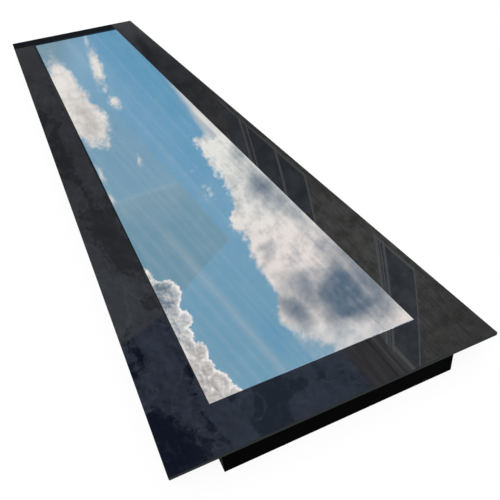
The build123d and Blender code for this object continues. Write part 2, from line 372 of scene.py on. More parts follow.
tape_foam = foam("tape_foam", dark=(0.02, 0.02, 0.021), light=(0.035, 0.035, 0.036), cell=0.9 * mm)
seal_foam = foam("seal_foam", dark=(0.018, 0.018, 0.019), light=(0.034, 0.034, 0.035), cell=1.4 * mm)
dress(sides("glazing_tape"), tape_foam)
dress(sides("kerb_seal"), seal_foam)

# Edge seal of the glass unit: hollow black plastic spacer bars filled with drying beads and joined by
# moulded keys, thin butyl beads against both panes, and silicone trowelled in behind. Two rows of fine
# slots in the bars' inner faces let the beads dry the gas between the panes. The slots are thin discs on
# the faces, and their near-black is painted shade for the dark inside the holes.

dress_bars("spacer_bar", "spacer_plastic", dark=(0.010, 0.010, 0.011), light=(0.016, 0.016, 0.017))

# Painted shade: the slots are near-black discs that stand for the dark inside the holes.
slot_shade_finish, tree, shader, place = new_finish("painted_slot_shade", Specular_IOR_Level=0.1)
slot_shade_mottle = mottle(tree, place, size=0.3 * mm)
tint(tree, shader, slot_shade_mottle, dark=(0.0015, 0.0015, 0.0016), light=(0.004, 0.004, 0.0042))
roughen(tree, shader, slot_shade_mottle, low=0.7, high=0.9)
slot_facets = 8
tree, slot_sizes = new_growth("row_of_slots", "pitch", "slot_length", "slot_width", "slot_depth")
slot_lines = made(tree, "GeometryNodeMeshToCurve", {"Mesh": slot_sizes["Geometry"]})
slot_places = made(
    tree, "GeometryNodeResampleCurve", {"Curve": slot_lines, "Length": slot_sizes["pitch"]}, mode="LENGTH"
)
unit_slot = made(
    tree, "GeometryNodeMeshCylinder", {"Vertices": slot_facets, "Radius": 0.5, "Depth": 1.0}
)
slot_stretch = made(
    tree,
    "ShaderNodeCombineXYZ",
    {"X": slot_sizes["slot_length"], "Y": slot_sizes["slot_width"], "Z": slot_sizes["slot_depth"]},
)
along_bar = made(tree, "GeometryNodeInputTangent", {})
out_of_bar = made(
    tree, "ShaderNodeVectorMath", {0: along_bar, 1: (0, 0, 1)}, operation="CROSS_PRODUCT"
)
slot_turn = made(
    tree,
    "FunctionNodeAxesToRotation",
    {"Primary Axis": out_of_bar, "Secondary Axis": along_bar},
    primary_axis="Z",
    secondary_axis="X",
)
slots_in_place = made(
    tree,
    "GeometryNodeInstanceOnPoints",
    {"Points": slot_places, "Instance": unit_slot, "Rotation": slot_turn, "Scale": slot_stretch},
)
ripen(tree, slots_in_place, slot_shade_finish)

left_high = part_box("spacer_bar_left")[1]
front_low, front_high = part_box("spacer_bar_front")
row_spacing = 4 * mm
row_end = 14 * mm
face_x, face_y = -left_high.x, -front_high.y
bar_middle = (front_low.z + front_high.z) / 2
row_points = []
for z in (bar_middle - row_spacing / 2, bar_middle + row_spacing / 2):
    for sign in (1, -1):
        row_points += [(sign * face_x, -face_y + row_end, z), (sign * face_x, face_y - row_end, z)]
        row_points += [(-face_x + row_end, sign * face_y, z), (face_x - row_end, sign * face_y, z)]
row_lines = [(point, point + 1) for point in range(0, len(row_points), 2)]
perforation_shade = grow(
    "spacer_perforation_shade",
    row_points,
    row_lines,
    tree,
    pitch=5 * mm,
    slot_length=2.4 * mm,
    slot_width=0.6 * mm,
    slot_depth=0.06 * mm,
)
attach(perforation_shade, "root")

key_plastic, tree, shader, place = new_finish("moulded_key_plastic", Specular_IOR_Level=0.4)
spark = mottle(tree, place, size=0.5 * mm)
flow = mottle(tree, place, size=9 * mm)
tint(tree, shader, flow, dark=(0.24, 0.25, 0.26), light=(0.33, 0.34, 0.35))
roughen(tree, shader, spark, low=0.45, high=0.6)
relief(tree, shader, spark, depth=0.02 * mm)
dress(corners("spacer_key"), key_plastic)

bead_size = 1.2 * mm
drying_beads_and_gap_shade, tree, shader, place = new_finish("drying_beads_and_gap_shade", Specular_IOR_Level=0.3)
beads = made(tree, "ShaderNodeTexVoronoi", {"Vector": place, "Scale": 1 / bead_size})
# Painted shade: the beads are pale tan and darken to brown in the low gaps between them.
tint(tree, shader, beads, (0.74, 0.68, 0.58), (0.38, 0.33, 0.26))
roughen(tree, shader, beads, low=0.7, high=0.9)
relief(tree, shader, worked(tree, "SUBTRACT", 1.0, beads), depth=0.4 * mm)
dress(["desiccant_fill"], drying_beads_and_gap_shade)

butyl = rubber("butyl", dark=(0.006, 0.006, 0.0065), light=(0.011, 0.011, 0.0115), bloom_size=8 * mm)
dress(["butyl_seal_upper", "butyl_seal_lower"], butyl)

silicone, tree, shader, place = new_finish("trowelled_silicone", Specular_IOR_Level=0.45)
trowel = mottle(tree, place, size=7 * mm, detail=3.0)
tint(tree, shader, trowel, dark=(0.010, 0.010, 0.011), light=(0.018, 0.018, 0.019))
roughen(tree, shader, trowel, low=0.3, high=0.48)
relief(tree, shader, trowel, depth=0.25 * mm)
dress(["edge_sealant"], silicone)

# Inner pane: clear laminated glass, two sheets with a film between them that shows as a milky line along
# the ground edges. It lies on the glazing tape and the liners' gaskets.


def as_share(tree, measure, start, end):
    """A measure turned into the shares that tint and toned read, from start to end."""
    few, many = mottle_spread
    spread = {"Value": measure, "From Min": start, "From Max": end, "To Min": few, "To Max": many}
    return made(tree, "ShaderNodeMapRange", spread)


lamination, tree, shader, place = new_finish("laminated_glass", IOR=1.45, Transmission_Weight=1.0)
inner_low, inner_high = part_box("inner_pane")
film_level = (inner_low.z + inner_high.z) / 2
film_half, film_fade = 0.3 * mm, 0.5 * mm
height = add(tree, "ShaderNodeSeparateXYZ", {"Vector": place}).outputs["Z"]
film_distance = worked(tree, "ABSOLUTE", worked(tree, "SUBTRACT", height, film_level))
film_share = as_share(tree, film_distance, film_half, film_fade)
wave = mottle(tree, place, size=90 * mm)
tint(tree, shader, film_share, (0.80, 0.82, 0.80), (0.91, 0.96, 0.94))
roughen(tree, shader, wave, low=0.0, high=0.02)
dress(["inner_pane"], lamination)

# Enamel border: black ceramic enamel, screen-printed on the underside of the outer pane and fired in as the
# glass is toughened. Behind the glass it mirrors about a twentieth of the sky, a little unevenly.

coat_gap = 0.02 * mm
behind_glass = (0.48, 0.48, 0.48, 1)


def coat(name, low, high, hole_low=None, hole_high=None):
    """A flat coat a hair below the glass, with a square-cornered hole where one is given."""
    rings = [(low, high)] if hole_low is None else [(low, high), (hole_low, hole_high)]
    corner_places = []
    for level in (low.z, high.z - coat_gap):
        for a, b in rings:
            corner_places += [(a.x, a.y, level), (b.x, a.y, level), (b.x, b.y, level), (a.x, b.y, level)]
    upper = 4 * len(rings)
    faces = []
    for here, after in ((0, 1), (1, 2), (2, 3), (3, 0)):
        faces.append((here, after, upper + after, upper + here))
        if hole_low is not None:
            faces.append((4 + after, 4 + here, upper + 4 + here, upper + 4 + after))
            faces.append((upper + here, upper + after, upper + 4 + after, upper + 4 + here))
            faces.append((here, 4 + here, 4 + after, after))
    if hole_low is None:
        faces += [(3, 2, 1, 0), (4, 5, 6, 7)]
    mesh = bpy.data.meshes.new(name)
    mesh.from_pydata(corner_places, [], faces)
    return placed(name, mesh)


enamel, tree, shader, place = new_finish("fired_black_enamel", Metallic=1.0, Specular_Tint=behind_glass)
print_marks = mottle(tree, place, size=45 * mm, detail=4.0)
tint(tree, shader, print_marks, dark=(0.050, 0.051, 0.053), light=(0.056, 0.057, 0.059))
roughen(tree, shader, print_marks, low=0.0, high=0.01)
border_low, border_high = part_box("enamel_border")
clear_low, clear_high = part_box("solar_coating")
border = coat("printed_border", border_low, border_high, clear_low, clear_high)
border.data.materials.append(enamel)
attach(border, "root")
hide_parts("enamel_border")

# Solar coating: a metal film sputtered on the underside of the outer pane inside the border. It mirrors the
# sky by day and lets a little light through.

mirror_film, tree, shader, place = new_finish("solar_mirror_film", Metallic=1.0, Alpha=0.93)
cloudiness = mottle(tree, place, size=220 * mm)
tint(tree, shader, cloudiness, dark=(0.92, 0.945, 0.95), light=(0.95, 0.965, 0.97))
roughen(tree, shader, cloudiness, low=0.0, high=0.006)
film = coat("sputtered_film", clear_low, clear_high)
film.data.materials.append(mirror_film)
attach(film, "root")
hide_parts("solar_coating")

# Outer pane: one sheet of clear toughened glass that oversails the frame, with polished edges. What it
# mirrors shows on the enamel and the coating below it, so its face is clear but for a strip along the
# edges, where the enamel fills the view through the glass.

edge_strip = 30 * mm
level_face = 0.9
arris_start, arris_end = 0.5, 0.6
rim_roughness = 0.25
strip_colour = (0.053, 0.054, 0.056)


def blended(tree, share, first, second):
    """Two colours mixed by the share of the second, each a node's output or red, green and blue."""
    # A Mix node has its sockets once for each kind of value: 6 and 7 take colours, and 2 gives their mix.
    mix = {"Factor": share}
    for socket, colour in ((6, first), (7, second)):
        mix[socket] = (*colour, 1) if isinstance(colour, tuple) else colour
    return add(tree, "ShaderNodeMix", mix, data_type="RGBA").outputs[2]


def join(tree, shader, **sources):
    """Joins outputs to the named sockets of a shader."""
    for socket, source in sources.items():
        tree.links.new(source, shader.inputs[socket.replace("_", " ")])


float_glass, tree, shader, place = new_finish(
    "clear_float_glass", Specular_IOR_Level=0.03, Specular_Tint=behind_glass
)
pane_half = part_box("outer_pane")[1]
surface = add(tree, "ShaderNodeNewGeometry", {}).outputs
from_outside = worked(tree, "SUBTRACT", 1.0, surface["Backfacing"])
upward = add(tree, "ShaderNodeSeparateXYZ", {"Vector": surface["True Normal"]}).outputs["Z"]
tilt = worked(tree, "ABSOLUTE", upward)
spot = add(tree, "ShaderNodeSeparateXYZ", {"Vector": place}).outputs
from_side = worked(tree, "SUBTRACT", pane_half.x, worked(tree, "ABSOLUTE", spot["X"]))
from_end = worked(tree, "SUBTRACT", pane_half.y, worked(tree, "ABSOLUTE", spot["Y"]))
near_edge = worked(tree, "LESS_THAN", worked(tree, "MINIMUM", from_side, from_end), edge_strip)
strip = worked(tree, "MULTIPLY", near_edge, worked(tree, "GREATER_THAN", upward, level_face))
rim = worked(tree, "LESS_THAN", tilt, level_face)
arris = as_share(tree, tilt, arris_start, arris_end)
rim_colour = toned(tree, arris, dark=(0.022, 0.027, 0.026), light=(0.024, 0.027, 0.027))
join(
    tree,
    shader,
    Base_Color=blended(tree, strip, rim_colour, strip_colour),
    Metallic=strip,
    Roughness=worked(tree, "MULTIPLY", rim, rim_roughness),
    Alpha=worked(tree, "MULTIPLY", worked(tree, "MAXIMUM", strip, rim), from_outside),
)
dress(["outer_pane"], float_glass)

# Floor: a plain white studio floor. It glows where it is seen or mirrored, as a lit paper sweep does, and
# keeps a soft shadow of the skylight. From below it is clear, so that the underside can be looked at.

floor_half = 40.0
floor_white = (0.95, 0.95, 0.95, 1)
plain_white = (1, 1, 1, 1)
sweep_share, sweep_glow = 0.88, 1.03
floor_corners = [(floor_half * x, floor_half * y, 0) for x, y in ((-1, -1), (1, -1), (1, 1), (-1, 1))]
floor_mesh = bpy.data.meshes.new("studio_floor")
floor_mesh.from_pydata(floor_corners, [], [(0, 1, 2, 3)])
floor = placed("studio_floor", floor_mesh)
floor_finish = bpy.data.materials.new("white_floor")
floor_finish.use_nodes = True
tree = floor_finish.node_tree
tree.nodes.remove(tree.nodes["Principled BSDF"])
floor_path = add(tree, "ShaderNodeLightPath", {}).outputs
seen = worked(tree, "MAXIMUM", floor_path["Is Camera Ray"], floor_path["Is Glossy Ray"])
seen = worked(tree, "MAXIMUM", seen, floor_path["Is Transmission Ray"])
glow_share = worked(tree, "MULTIPLY", seen, sweep_share)
paint = made(tree, "ShaderNodeBsdfDiffuse", {"Color": floor_white})
glow = made(tree, "ShaderNodeEmission", {"Color": plain_white, "Strength": sweep_glow})
upper_face = made(tree, "ShaderNodeMixShader", {"Fac": glow_share, 1: paint, 2: glow})
underside = add(tree, "ShaderNodeNewGeometry", {}).outputs["Backfacing"]
see_through = made(tree, "ShaderNodeBsdfTransparent", {})
one_sided = made(tree, "ShaderNodeMixShader", {"Fac": underside, 1: upper_face, 2: see_through})
tree.links.new(one_sided, tree.nodes["Material Output"].inputs["Surface"])
floor_mesh.materials.append(floor_finish)

# Light: one wide soft lamp from behind the camera, besides the sky. The glass doesn't mirror it, so that it
# leaves no glare on the sky that shows there.

lamp_strength = 0.9
lamp_width = math.radians(35)
lamp_direction = Vector((0.35, 0.5, -1.0))
lamp_data = bpy.data.lights.new("soft_key", "SUN")
lamp_data.energy = lamp_strength
lamp_data.angle = lamp_width
lamp = placed("soft_key", lamp_data)
lamp.rotation_mode = "QUATERNION"
lamp.rotation_quaternion = lamp_direction.to_track_quat("-Z", "Y")
lamp.visible_glossy = False

# Camera: above the front left corner, level with a standing person's chest, looking down along the glass.
# Its place, aim and focal length follow from the corners of the glass and its clear area in the photograph.

photo_width = 500
focal_length_in_pixels = 559.13
camera_place = Vector((-0.3165, -1.7804, 0.7863))
camera_aim = Vector((0.0246, -0.8602, 0.06))
camera_roll = math.radians(-6.23)
camera_data = bpy.data.cameras.new("camera")
camera_data.sensor_width = 36.0
camera_data.lens = camera_data.sensor_width * focal_length_in_pixels / photo_width
camera = placed("camera", camera_data)
camera.location = camera_place
camera.rotation_mode = "QUATERNION"
camera_turn = (camera_aim - camera_place).to_track_quat("-Z", "Y")
camera.rotation_quaternion = camera_turn @ Quaternion((0, 0, 1), camera_roll)
bpy.context.scene.camera = camera

# Sky: blue with clouds and a house wall, which the glass mirrors. They are placed in the photograph's
# pixels, columns to the right and rows downwards, as the camera sees them mirrored by the level glass.

least_depth = 0.05
right = camera.rotation_quaternion @ Vector((1, 0, 0))
up = camera.rotation_quaternion @ Vector((0, 1, 0))
ahead = camera.rotation_quaternion @ Vector((0, 0, -1))
world = bpy.data.worlds.new("cloudy_sky")
bpy.context.scene.world = world
world.use_nodes = True
sky_tree = world.node_tree
direction = add(sky_tree, "ShaderNodeTexCoord", {}).outputs["Generated"]


def calc(operation, *values):
    """One step of arithmetic in the sky's tree."""
    return worked(sky_tree, operation, *values)


def mirrored_part(axis):
    """How far the looked-at direction goes along an axis that the level glass has mirrored."""
    level_mirror = (axis.x, axis.y, -axis.z)
    parts = {0: direction, 1: level_mirror}
    return add(sky_tree, "ShaderNodeVectorMath", parts, operation="DOT_PRODUCT").outputs["Value"]


def pixel(axis, pixels_for_each):
    """Where a place of the sky shows in the photograph, along one of its sides."""
    slope = calc("DIVIDE", mirrored_part(axis), calc("MAXIMUM", in_view, least_depth))
    return calc("MULTIPLY_ADD", slope, pixels_for_each, photo_width / 2)


in_view = mirrored_part(ahead)
column = pixel(right, focal_length_in_pixels)
row = pixel(up, -focal_length_in_pixels)

# Open blue: the clear part of the sky, deeper far off and beside the clouds. To the left of a straight line
# it is hazy, with a greyer pane, and pale rays run along the line. One broad streak crosses the near part.


def soft_step(value, start, end):
    """0 before start, 1 past end, and a smooth change between. The end may lie below the start."""
    span = {"Value": value, "From Min": start, "From Max": end}
    return made(sky_tree, "ShaderNodeMapRange", span, interpolation_type="SMOOTHSTEP")


def stripe(distance, inner, outer):
    """1 as near to a line as the inner distance, and 0 past the outer one, on both sides."""
    return soft_step(calc("ABSOLUTE", distance), outer, inner)


def both(*shares):
    """The product of some shares, so 1 only where all of them are."""
    product = shares[0]
    for share in shares[1:]:
        product = calc("MULTIPLY", product, share)
    return product


def most(*values):
    """The largest of some numbers at each place."""
    largest = values[0]
    for value in values[1:]:
        largest = calc("MAXIMUM", largest, value)
    return largest


def summed(*terms, ground=0.0):
    """The sum of some numbers, each given with its factor, on top of a ground."""
    total = ground
    for value, factor in terms:
        total = calc("MULTIPLY_ADD", value, factor, total)
    return total


def between(share, first, second):
    """Two colours of the sky mixed by the share of the second."""
    return blended(sky_tree, share, first, second)


def washed(below, colour, share, strength):
    """A colour washed over another where its share is above 0, no thicker than its strength."""
    return between(calc("MULTIPLY", share, strength), below, colour)


def shifted(shift):
    """The looked-at direction, moved to another part of a texture."""
    parts = {0: direction, 1: shift}
    return made(sky_tree, "ShaderNodeVectorMath", parts, operation="ADD")


def drifting(scale, detail, roughness, shift=(0, 0, 0)):
    """Cloud-like noise over the sky, about -1 to 1."""
    noise = {"Vector": shifted(shift), "Scale": scale, "Detail": detail, "Roughness": roughness}
    return calc("MULTIPLY_ADD", made(sky_tree, "ShaderNodeTexNoise", noise), 2.0, -1.0)


def brushed(across, across_scale, along, along_scale, detail, roughness=0.5):
    """Brush strokes: shares from 0 to 1 that change at one pace across them and at another along them."""
    strokes = {"X": calc("MULTIPLY", across, across_scale), "Y": calc("MULTIPLY", along, along_scale)}
    lain = made(sky_tree, "ShaderNodeCombineXYZ", strokes)
    noise = {"Vector": lain, "Scale": 1.0, "Detail": detail, "Roughness": roughness}
    return made(sky_tree, "ShaderNodeTexNoise", noise)


def beside(start, end):
    """How many pixels a place lies to the right of the line from start to end, looking along it."""
    heading = (Vector(end) - Vector(start)).normalized()
    across = calc("MULTIPLY", calc("SUBTRACT", column, start[0]), -heading.y)
    return calc("MULTIPLY_ADD", calc("SUBTRACT", row, start[1]), heading.x, across)


def puff(centre, half_length, half_width, lean):
    """How many pixels a place lies inside an oval cloud that leans from upright by an angle in degrees."""
    cosine, sine = math.cos(math.radians(lean)), math.sin(math.radians(lean))
    x = calc("SUBTRACT", column, centre[0])
    y = calc("SUBTRACT", row, centre[1])
    lengthwise = calc("MULTIPLY_ADD", x, sine / half_length, calc("MULTIPLY", y, cosine / half_length))
    crosswise = calc("MULTIPLY_ADD", x, cosine / half_width, calc("MULTIPLY", y, -sine / half_width))
    squared = calc("MULTIPLY_ADD", lengthwise, lengthwise, calc("MULTIPLY", crosswise, crosswise))
    return calc("MULTIPLY_ADD", calc("SQRT", squared), -half_width, half_width)


def within(*ovals):
    """How many pixels a place lies inside the nearest of some ovals."""
    return most(*[puff(*oval) for oval in ovals])


def frayed(outline, *textures):
    """How many pixels a place lies inside an outline that textures fray, each by some pixels."""
    return summed((outline, 1.0), *textures)


wisps = drifting(scale=26.0, detail=8.0, roughness=0.62)

haze_near, haze_far = (231, 241), (150, 150)
pane_right, pane_left = (227, 242), (188, 286)
pane_top_left, pane_top_right = (120, 202), (172, 184)
streak_near, streak_far = (285, 374), (149, 213)
pool_by_bank = ((190, 158), 24, 10, 40)
pool_by_foot = ((274, 334), 24, 10, 40)
blue_rows, deep_rows = (150, 350), (200, 60)
haze_rows, streak_rows = (70, 150), (205, 260)
corner_columns, corner_rows = (84, 50), (100, 45)
thin_haze_columns, thin_haze_rows = (55, 82), (120, 45)
deep_distances, thin_haze_distances, teal_distances = (8, 55), (34, 6), (6, 36)
far_blue, near_blue = (0.165, 0.362, 0.54), (0.165, 0.348, 0.492)
deep_blue, pool_blue = (0.10, 0.318, 0.505), (0.10, 0.31, 0.50)
corner_grey, haze_grey = (0.205, 0.318, 0.385), (0.213, 0.358, 0.455)
pane_grey, pane_teal, pane_line = (0.232, 0.34, 0.39), (0.09, 0.255, 0.37), (0.36, 0.49, 0.58)
ray_white, streak_white = (0.55, 0.58, 0.6), (0.6, 0.57, 0.54)
wisp_white, thin_haze_white = (0.6, 0.65, 0.7), (0.7, 0.75, 0.8)

haze_line = beside(haze_near, haze_far)
below_top = beside(pane_top_left, pane_top_right)
hazy = both(
    soft_step(haze_line, 2.0, -2.0),
    soft_step(beside(pane_right, pane_left), -1.0, 1.0),
    soft_step(row, *haze_rows),
)
deep = both(soft_step(haze_line, *deep_distances), soft_step(row, *deep_rows))
pools = soft_step(within(pool_by_bank, pool_by_foot), -8.0, 8.0)
far_corner = both(soft_step(column, *corner_columns), soft_step(row, *corner_rows))
haze_rays = brushed(haze_line, 0.16, 0.0, 0.0, detail=4.0)
streak = stripe(frayed(beside(streak_near, streak_far), (wisps, 3.0)), 0.0, 8.0)
thin_haze = both(
    soft_step(row, *thin_haze_rows),
    soft_step(haze_line, *thin_haze_distances),
    soft_step(column, *thin_haze_columns),
)
blue = between(soft_step(row, *blue_rows), far_blue, near_blue)
for colour, share, strength in (
    (deep_blue, deep, 0.8),
    (pool_blue, pools, 0.5),
    (corner_grey, far_corner, 0.8),
    (haze_grey, hazy, 0.6),
    (pane_grey, both(hazy, soft_step(below_top, -2.0, 2.0)), 0.4),
    (pane_teal, both(hazy, soft_step(below_top, *teal_distances)), 0.36),
    (pane_line, both(hazy, stripe(below_top, 0.0, 4.0)), 0.2),
    (ray_white, soft_step(haze_rays, 0.42, 0.66), 0.09),
    (streak_white, both(streak, soft_step(row, *streak_rows)), 0.16),
    (wisp_white, soft_step(wisps, -0.25, 0.5), 0.06),
    (thin_haze_white, thin_haze, 0.14),
):
    blue = washed(blue, colour, share, strength)

# Far clouds: a long one against the left edge, a chain of small ones beside it, and a few scraps. They are
# fluffy and warm white, with a grey core in the long one.


def bulging(scale, detail, shift=(0, 0, 0)):
    """Round bulges like a cauliflower's over the sky, about -0.5 to 0.5."""
    start = shifted(shift)
    noise = {"Vector": start, "Scale": 0.7 * scale, "Detail": 2.0}
    swirl = add(sky_tree, "ShaderNodeTexNoise", noise).outputs["Color"]
    swirl = made(sky_tree, "ShaderNodeVectorMath", {0: swirl, 1: [1.6 / scale] * 3}, operation="MULTIPLY")
    swirled = made(sky_tree, "ShaderNodeVectorMath", {0: start, 1: swirl}, operation="ADD")
    cells = {"Vector": swirled, "Scale": scale, "Detail": detail, "Roughness": 0.5, "Lacunarity": 2.2}
    distance = made(sky_tree, "ShaderNodeTexVoronoi", cells, normalize=True)
    return calc("SUBTRACT", 0.36, distance)


def stride(rightwards, upwards):
    """A stride of some pixels across the mirrored sky."""
    moved = (right * rightwards + up * upwards) / focal_length_in_pixels
    return (moved.x, moved.y, -moved.z)


def lit_side(texture, to_light, *settings, shift=(0, 0, 0)):
    """How far a texture falls over a stride towards the light, so above 0 where the light meets it."""
    further = [a + b for a, b in zip(shift, to_light)]
    return calc("SUBTRACT", texture(*settings, shift=shift), texture(*settings, shift=further))


def patch(oval, strength, blur):
    """A dark patch of a cloud, as dark as its strength, fading over some pixels each side of its edge."""
    ragged = frayed(puff(*oval), (soft_folds, 1.1 * blur), (folds, 0.25 * blur))
    return calc("MULTIPLY", soft_step(ragged, -blur, blur), strength)


folds_shift, soft_shift, feather_shift = (3.7, 1.2, 0.4), (5.3, 0.2, 1.9), (6.2, 0.9, 2.4)
folds = drifting(scale=34.0, detail=6.0, roughness=0.6, shift=folds_shift)
soft_folds = drifting(scale=24.0, detail=3.0, roughness=0.5, shift=soft_shift)
feathers = drifting(scale=90.0, detail=5.0, roughness=0.65, shift=feather_shift)
fluff = drifting(scale=190.0, detail=4.0, roughness=0.7, shift=(2.3, 7.1, 1.4))
bulges = bulging(scale=62.0, detail=3.0)

long_cloud = ((78, 104), 51, 20, 33)
long_cloud_top, long_cloud_side = (58, 61), (108, 118)
upright_cloud = ((97, 67), 18, 6.5, 21)
chain_link = ((105, 89), 4.5, 4, 30)
chain_end = ((114, 101), 7, 4, 35)
top_scrap = ((86, 40), 5, 1.0, 10)
lone_scrap = ((139, 161), 3.5, 1.6, 10)
edge_scrap_far = ((101, 175), 7, 2.2, 27)
edge_scrap_near = ((111, 199), 6, 1.9, 27)
far_core = ((88, 119), 22, 11, 30)
far_light, far_dark = (0.88, 0.825, 0.78), (0.38, 0.35, 0.355)

far_shape = calc("MINIMUM", puff(*long_cloud), beside(long_cloud_top, long_cloud_side))
far_shape = most(far_shape, within(upright_cloud, chain_link, chain_end))
scraps = within(top_scrap, lone_scrap, edge_scrap_far, edge_scrap_near)
far_field = most(
    frayed(far_shape, (wisps, 8.0), (bulges, 3.0), (feathers, 4.0), (fluff, 4.0)),
    frayed(scraps, (feathers, 3.0), (fluff, 2.0)),
)
far_shade = summed(
    (patch(far_core, strength=0.45, blur=10.0), 1.0),
    (folds, 0.5),
    (lit_side(drifting, stride(2.0, 3.0), 60.0, 5.0, 0.6), -0.45),
    (fluff, 0.12),
    ground=0.03,
)
far_cloud = between(far_shade, far_light, far_dark)
sky = between(soft_step(far_field, -2.5, 5.0), blue, far_cloud)

# Right bank: a long cloud whose lit ragged edge runs down the glass, dark inside towards the near end and
# thin at its foot. A veil of straight rays joins its tip along the right edge of the clear area.


def way_along(start, end):
    """How far a place lies on the way from start to end, as a share of it."""
    way = Vector(end) - Vector(start)
    x = calc("MULTIPLY", calc("SUBTRACT", column, start[0]), way.x / way.length_squared)
    return calc("MULTIPLY_ADD", calc("SUBTRACT", row, start[1]), way.y / way.length_squared, x)


def drawn(share, reach, *points):
    """A smooth line drawn through points, each a share of its length and a height no more than its reach."""
    curve = add(sky_tree, "ShaderNodeFloatCurve", {"Value": share})
    line = curve.mapping.curves[0]
    while len(line.points) < len(points):
        line.points.new(0.5, 0.5)
    for point, (along, height) in zip(line.points, points):
        point.location = (along, (height + reach) / (2 * reach))
    curve.mapping.update()
    return calc("MULTIPLY_ADD", curve.outputs["Value"], 2 * reach, -reach)


small_bulges = bulging(scale=150.0, detail=2.0)

right_far, right_near = (116, 29), (413, 318)
veil_far, veil_near = (165, 79), (203, 134)
slit_left, slit_right = (198, 134), (227, 146)
veil_light, veil_dark = (0.84, 0.80, 0.75), (0.52, 0.55, 0.58)
right_out = beside(right_near, right_far)
down_the_side = way_along(right_far, right_near)
rays = brushed(right_out, 0.3, down_the_side, 5.0, detail=3.0)
veil = calc("MINIMUM", beside(veil_near, veil_far), beside(slit_right, slit_left))
veil = frayed(veil, (calc("SUBTRACT", rays, 0.5), 9.0), (feathers, 1.5), (wisps, 3.0))
veil_cloud = between(soft_step(rays, 0.4, 0.62), veil_light, veil_dark)
sky = washed(sky, veil_cloud, soft_step(veil, -2.0, 7.0), strength=0.92)

bank_tip, bank_foot = (195, 139), (304, 345)
bank_top_left, bank_top_right = (188, 138), (235, 130)
bank_neck = ((236, 148), 30, 10, 45)
bank_scrap = ((209, 192), 3, 0.5, 45)
thin_part = ((318, 352), 34, 12, 62)
thin_rows = (316, 336)
bank_reach = 12.0
bank_edge = (
    (0.0, 1.6),
    (0.06, 0.6),
    (0.135, -2.6),
    (0.235, -1.4),
    (0.33, -0.9),
    (0.38, 9.5),
    (0.447, 2.0),
    (0.53, 3.3),
    (0.63, 6.0),
    (0.72, 4.3),
    (0.84, 6.8),
    (0.92, 4.5),
    (1.0, 0.9),
)
bank_bulges = drawn(way_along(bank_tip, bank_foot), bank_reach, *bank_edge)
bank = calc("ADD", beside(bank_foot, bank_tip), bank_bulges)
bank = calc("MINIMUM", bank, beside(bank_top_left, bank_top_right))
bank = most(bank, within(bank_neck, bank_scrap))
bank = frayed(bank, (wisps, 17.0), (bulges, 8.0), (small_bulges, 3.0), (feathers, 5.0), (fluff, 3.0))
thin = soft_step(frayed(puff(*thin_part), (wisps, 26.0), (feathers, 9.0)), -5.0, 11.0)
thin = summed((thin, 0.7), (soft_step(row, *thin_rows), 0.2))
bank_share = both(soft_step(bank, -2.0, 6.0), calc("SUBTRACT", 1.0, thin))

shade_by_edge = patch(((264, 186), 36, 12, 46), strength=0.8, blur=13.0)
shade_in_ridge = patch(((270, 251), 12, 7, 20), strength=0.3, blur=8.0)
deep_shade = patch(((343, 294), 33, 29, 30), strength=0.9, blur=17.0)
shade_above = patch(((340, 268), 20, 12, 46), strength=0.68, blur=13.0)
shade_at_foot = patch(((297, 312), 20, 11, 49), strength=0.84, blur=10.0)
middle_shade = patch(((312, 294), 26, 14, 52), strength=0.68, blur=15.0)
edge_shade = patch(((367, 281), 38, 14, 46), strength=0.8, blur=11.0)
bank_shade = most(shade_by_edge, shade_in_ridge, deep_shade, shade_above)
bank_shade = most(bank_shade, shade_at_foot, middle_shade, edge_shade)
ray_distances, lit_rows = (-75, -10), (190, 250)
far_lit, near_lit, bank_dark = (0.85, 0.83, 0.79), (0.84, 0.765, 0.73), (0.10, 0.15, 0.215)
bank_texture = summed(
    (folds, 0.26),
    (soft_folds, 0.3),
    (lit_side(drifting, stride(-5.0, 4.0), 24.0, 5.0, 0.58, shift=soft_shift), -1.0),
    (lit_side(bulging, stride(-2.0, 1.5), 62.0, 3.0), -0.2),
    (feathers, 0.08),
    (both(soft_step(right_out, *ray_distances), calc("MULTIPLY_ADD", rays, 0.8, -0.38)), 1.0),
)
lit_share = calc("MULTIPLY_ADD", bank_shade, -0.85, 1.0)
bank_shade = summed((both(bank_texture, lit_share), 1.0), (bank_shade, 1.0), ground=0.06)
lit_bank = between(soft_step(row, *lit_rows), far_lit, near_lit)
sky = between(bank_share, sky, between(bank_shade, lit_bank, bank_dark))

# Low cloud: a heap of round bulges in the near left corner, grey inside, with bright crisp rims. Its
# outline is a row of ovals down the left edge.

low_scrap = ((149, 277), 7, 3, 27)
low_head = ((166, 297), 16, 15, 0)
low_brow = ((158, 290), 9, 9, 0)
low_neck = ((172, 312), 12, 9, 20)
low_elbow = ((184, 320), 9, 8, 0)
low_knuckle = ((186, 334), 8, 6, 60)
low_fist = ((199, 353), 10, 9, 0)
low_hip = ((206, 369), 11, 9, 30)
low_knee = ((220, 384), 15, 11, 40)
low_toe = ((236, 393), 9, 6, 60)
low_foot = ((222, 399), 18, 11, 62)
low_body = ((186, 354), 76, 13, 27)
low_hollow = ((163, 299), 17, 11, 10)
low_rows = (320, 365)
low_light, low_far_dark, low_near_dark = (0.97, 0.915, 0.88), (0.16, 0.215, 0.27), (0.235, 0.215, 0.225)

